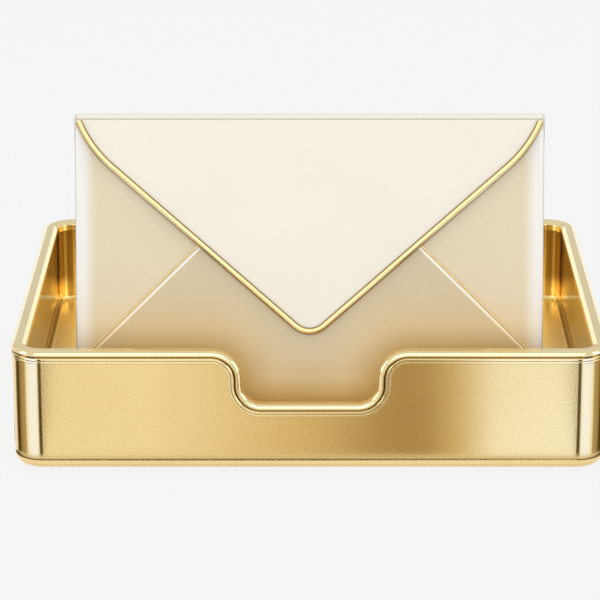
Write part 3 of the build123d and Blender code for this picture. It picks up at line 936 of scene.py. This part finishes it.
seam_radius, piping_radius = 0.42 * MM, 1.3 * MM
piping_widening, piping_shift = 1.27, 0.3 * MM
out_x, out_z = seam_radius * sin(seam_angle), seam_radius * cos(seam_angle)
trim_x = 3 * MM
trim_z = trim_x * tan(seam_angle)
for side, node in ((-1, "left_seam_cord"), (1, "right_seam_cord")):
    y = side_front - seam_radius
    low = Vector((side * (flap_half + out_x - trim_x), y, seam_foot + out_z + trim_z))
    high = Vector((side * (flap_half + out_x - seam_run + trim_x), y, seam_top + out_z - trim_z))
    edging(node + "_gold", [low, high], seam_radius, 1.0, "envelope", node)
piping_line = []
for point, heading in flap_edge:
    outward = Vector((sin(heading), -cos(heading))) * piping_shift
    piping_line.append(Vector((point.x + outward.x, -0.1 * MM, point.y + outward.y)))
edging("flap_piping_gold", piping_line, piping_radius, piping_widening, "flap", "flap_piping")

pin_radius, pin_end_drop, pin_end_length = 1.2 * MM, 0.35 * MM, 0.3 * MM
pin_end = [(half_width, pin_radius - pin_end_drop), (half_width - pin_end_length, pin_radius)]
pin_rows = [hinge_ring(-x, radius, 32) for x, radius in pin_end]
pin_rows += [hinge_ring(x, radius, 32) for x, radius in reversed(pin_end)]
pin = woven("hinge_pin_rod", pin_rows, closed_columns=True, capped=True)
pin.data.transform(leaning)
steady_normals(pin, 30)
dress(pin, steel, "steel", "envelope", "hinge_pin")

# ------------------------------------------------------------------ pointed flap
# The cream flap is one thick board with its round top fold, which turns on the pin. A fine crease
# runs below the fold, where the board was scored, with shade painted along it.

crease_angle, crease_spread, crease_depth = radians(16), radians(7), 0.22 * MM
barrel_half = half_width - ear_sheet - 0.2 * MM


def flap_section(edge_z, drop):
    """Section of the flap from its edge, up its face, round the fold and down its rear."""
    section = [(0, edge_z), (0, min(edge_z + 0.4 * MM, hinge_z)), (0, hinge_z)]
    meeting = 2 * pi - acos((flap_sheet - hinge_radius) / hinge_radius)
    steps = 44
    for step in range(1, steps + 1):
        angle = meeting * step / steps
        dip = crease_depth * max(0, 1 - abs(angle - crease_angle) / crease_spread)
        radius = hinge_radius - max(dip, drop)
        section.append((hinge_radius - radius * cos(angle), hinge_z + radius * sin(angle)))
    section.append((flap_sheet, edge_z))
    return section


left_end = [(-barrel_half + inset * MM, hinge_z) for inset in (0, 0.3, 0.8)]
right_end = [(-x, z) for x, z in reversed(left_end)]
flap_rows = []
for x, edge_z in left_end + [(point.x, point.y) for point, heading in flap_edge] + right_end:
    low_z = min(edge_z, hinge_z - 3.0 * MM)
    drop = end_drop(half_width - abs(x))
    flap_rows.append([Vector((x, y, z)) for y, z in flap_section(low_z, drop)])
flap = woven("top_flap_board", flap_rows, closed_columns=True, capped=True)
flap.data.transform(leaning)
steady_normals(flap, 40)
flap_cream = pearl_board("flap_cream", shade(232, 226, 208), shade(243, 237, 221))
flap_depth, flap_height = flap_cream.leaned(seat, lean)
crease_z = hinge_z + hinge_radius * sin(crease_angle)
# Painted shade: the colour is darkened along the crease below the fold.
crease_shade = flap_cream.ramp(flap_height, crease_z - 0.5 * MM, crease_z - 0.1 * MM)
crease_shade = crease_shade * flap_cream.ramp(flap_height, crease_z + 0.5 * MM, crease_z + 0.1 * MM)
crease_shade = crease_shade * flap_cream.ramp(flap_depth, 2 * MM, 1 * MM)
flap_cream.paint(crease_shade * 0.8, shade(176, 164, 140))
dress(flap, flap_cream, "flap_cream", "flap", "top_flap")

# ------------------------------------------------------------------ studio
# A pale floor that runs to a white background, a broad softbox overhead, a key light from the
# front and low fills from both sides. Only polished metal sees the reflector cards and flags.

background, floor_glow = 0.935, 0.92


def stage_piece(piece, finish, seen_by_camera):
    """Stage piece that either everything sees or only reflections do."""
    piece.data.materials.clear()
    piece.data.materials.append(finish.material)
    if not seen_by_camera:
        piece.visible_camera = False
        piece.visible_diffuse = False
        piece.visible_shadow = False
        piece.visible_transmission = False


floor_half = 6.0
floor_rows = [[Vector((x, y, 0)) for x in (-floor_half, floor_half)] for y in (-floor_half, floor_half)]
floor = woven("studio_floor", floor_rows)
floor_pale = Finish("floor_pale")
camera_ray = floor_pale.node("ShaderNodeLightPath", {}, {}, "Is Camera Ray")
glossy_ray = floor_pale.node("ShaderNodeLightPath", {}, {}, "Is Glossy Ray")
through_ray = floor_pale.node("ShaderNodeLightPath", {}, {}, "Is Transmission Ray")
metal_or_glass = glossy_ray.maths("MAXIMUM", glossy_ray, through_ray)
seen_plain = camera_ray.maths("MAXIMUM", camera_ray, metal_or_glass)
floor_pale.set(Base_Color=(0.8, 0.8, 0.8, 1), Roughness=0.9)
glow = floor_pale.node("ShaderNodeEmission", {}, {"Color": (background, background, background, 1)})
blend = floor_pale.node("ShaderNodeMixShader", {}, {0: seen_plain * floor_glow, 2: glow})
floor_pale.material.node_tree.links.new(floor_pale.shader.outputs[0], blend.socket.node.inputs[1])
floor_pale.join(floor_pale.nodes["Material Output"].inputs["Surface"], blend)
stage_piece(floor, floor_pale, True)

card_glow = Finish("card_glow")
glow_colour = card_glow.node("ShaderNodeAttribute", {"attribute_name": "glow"}, {})
emitting = card_glow.node("ShaderNodeEmission", {}, {"Color": glow_colour})
card_glow.join(card_glow.nodes["Material Output"].inputs["Surface"], emitting)


def glow_card(name, rows, glows):
    """Reflector card or black flag whose glow runs smoothly from row to row."""
    card = woven(name, rows)
    paint = card.data.color_attributes.new("glow", "FLOAT_COLOR", "POINT")
    width = len(rows[0])
    for index, value in enumerate(paint.data):
        value.color = (*glows[index // width], 1)
    stage_piece(card, card_glow, False)


camera_distance = 1.44
card_z, card_near, card_far, corner_card_far = 0.2 * MM, 27 * MM, 330 * MM, 220 * MM
plain = (1.02, 1.06, 1.1)
pale = (1.06, 1.2, 1.5)
cream = (1.12, 1.42, 2.5)
mid = (0.78, 0.69, 0.52)
deep = (0.47, 0.37, 0.21)
black = (0.1, 0.07, 0.02)

front_stops = [
    (-0.126, plain),
    (-0.075, plain),
    (-0.04, (0.93, 0.9, 0.82)),
    (-0.005, mid),
    (0.032, (0.52, 0.42, 0.26)),
    (0.044, deep),
    (0.056, (0.5, 0.4, 0.24)),
    (0.07, (0.74, 0.66, 0.5)),
    (0.088, pale),
    (0.126, (1.1, 1.3, 1.75)),
]
front_rows = []
for x, glow in front_stops:
    row = []
    for away in (card_near, card_far):
        row.append(Vector((x * (1 + away / camera_distance), -shell_high.y - away, card_z)))
    front_rows.append(row)
glow_card("front_gradient_card", front_rows, [glow for x, glow in front_stops])

corner_stops = [
    (0.2, black),
    (5.6, black),
    (7.2, pale),
    (10, cream),
    (20, cream),
    (29, pale),
    (33, (0.52, 0.44, 0.29)),
    (43, (0.4, 0.33, 0.2)),
    (48, black),
    (55, black),
    (60, plain),
    (75, plain),
]
sight_turn = atan2(shell_high.x, camera_distance)
for side, name in ((-1, "left"), (1, "right")):
    corner_rows = []
    for degrees, glow in corner_stops:
        turn = radians(degrees)
        outward = Vector((side * sin(turn), -cos(turn), 0))
        onward = Vector((side * sin(2 * turn + sight_turn), -cos(2 * turn + sight_turn), 0))
        centre = Vector((side * (shell_high.x - corner_radius), -shell_high.y + corner_radius, card_z))
        wall_foot = centre + outward * corner_radius
        corner_rows.append([wall_foot + onward * card_near, wall_foot + onward * corner_card_far])
    glow_card(name + "_corner_card", corner_rows, [glow for degrees, glow in corner_stops])

ring_stops = [(0.5, plain), (11, plain), (12.5, black), (20, black), (22, plain)]
ring_rows = []
for away, glow in ring_stops:
    out = away * MM
    plan = plan_outline(shell_high.x + out, shell_high.y + out, corner_radius + out)
    ring_rows.append([Vector((point.x, point.y, card_z / 2)) for point in plan + plan[:1]])
glow_card("foot_ring_flag", ring_rows, [glow for away, glow in ring_stops])

back_card_y, back_card_half = 1.6, 2.5
dimmed = (0.72, 0.74, 0.76)
back_stops = [(0.0, (1.3, 1.3, 1.3)), (0.34, (1.25, 1.25, 1.25)), (0.42, dimmed), (1.3, dimmed)]
back_card_rows = []
for z, glow in back_stops:
    back_card_rows.append([Vector((x, back_card_y, z)) for x in (-back_card_half, back_card_half)])
glow_card("back_card", back_card_rows, [glow for z, glow in back_stops])


def softbox(name, place, width, height, watts):
    """Area light at a place, turned to the middle of the tray."""
    lamp = bpy.data.lights.new(name, "AREA")
    lamp.shape = "RECTANGLE"
    lamp.size = width
    lamp.size_y = height
    lamp.energy = watts
    holder = placed(name, lamp)
    holder.location = place
    holder.rotation_euler = (tray_middle - Vector(place)).to_track_quat("-Z", "Y").to_euler()
    holder.visible_camera = False
    return holder


tray_middle = Vector((0, 0, 0.05))
overhead = softbox("overhead", (0, 0.2, 1.6), width=2.6, height=2.6, watts=14)
overhead.visible_glossy = False
softbox("front_key", (0, -2.3, 1.25), width=2.8, height=1.9, watts=25)
softbox("side_left", (-1.5, -0.5, 0.5), width=0.6, height=0.8, watts=5)
softbox("side_right", (1.5, -0.5, 0.5), width=0.6, height=0.8, watts=5)

# The polished wall throws gold light on to the foot of the envelope and keeps white light off it.
# A gold card that only diffuse light meets stands on the front wall in its place.
gold_card = Finish("gold_card")
gold_card.set(
    Base_Color=(0.75, 0.5, 0.06, 1),
    Roughness=0.8,
    Emission_Color=(1.0, 0.66, 0.05, 1),
    Emission_Strength=0.65,
)
shade_reach, shade_gap, shade_below, shade_above = 112 * MM, 0.3 * MM, 6 * MM, 8 * MM
inner_face_y = -shell_high.y + wall + rim_overhang
shade_rows = []
for point, heading in dip_line(shade_reach):
    upward = Vector((-sin(heading), 0, cos(heading)))
    crown = Vector((point.x, inner_face_y + shade_gap, point.y))
    shade_rows.append([crown - upward * shade_below, crown + upward * shade_above])
gold_shade = woven("gold_shade", shade_rows)
stage_piece(gold_shade, gold_card, True)
gold_shade.visible_camera = False
gold_shade.visible_glossy = False
gold_shade.visible_transmission = False

sky_strength, mirrored_sky_strength = 0.4, 0.85
world = bpy.data.worlds.new("studio_world")
bpy.context.scene.world = world
world.use_nodes = True
world_nodes, world_links = world.node_tree.nodes, world.node_tree.links
sky = world_nodes["Background"]
sky.inputs["Color"].default_value = (0.97, 0.99, 1.04, 1)
ray = world_nodes.new("ShaderNodeLightPath")
level = world_nodes.new("ShaderNodeMapRange")
level.inputs["To Min"].default_value = sky_strength
level.inputs["To Max"].default_value = mirrored_sky_strength
world_links.new(ray.outputs["Is Glossy Ray"], level.inputs["Value"])
world_links.new(level.outputs["Result"], sky.inputs["Strength"])

# ------------------------------------------------------------------ camera
# A long lens that looks 18 degrees down at the front wall, as the photograph's does. Its frame is
# shifted a little to the left, because the photograph cuts off the tray's right edge.

photo_pixels = 600
photo_centre_x = 309.6
pitch = radians(18)
focal_pixels = 3038
front_distance = 1.438
axis_rise = 80.67 * MM
sensor = 36.0
front_foot = Vector((0, -shell_high.y, shell_low.z))
sight = Vector((0, cos(pitch), -sin(pitch)))
rise = Vector((0, sin(pitch), cos(pitch)))
camera_data = bpy.data.cameras.new("camera")
camera_data.sensor_width = sensor
camera_data.lens = focal_pixels / photo_pixels * sensor
camera_data.shift_x = -(photo_centre_x - photo_pixels / 2) / photo_pixels
camera = placed("camera", camera_data)
camera.location = front_foot + rise * axis_rise - sight * front_distance
camera.rotation_euler = (pi / 2 - pitch, 0, 0)
bpy.context.scene.camera = camera
bpy.context.scene.view_settings.view_transform = "Standard"
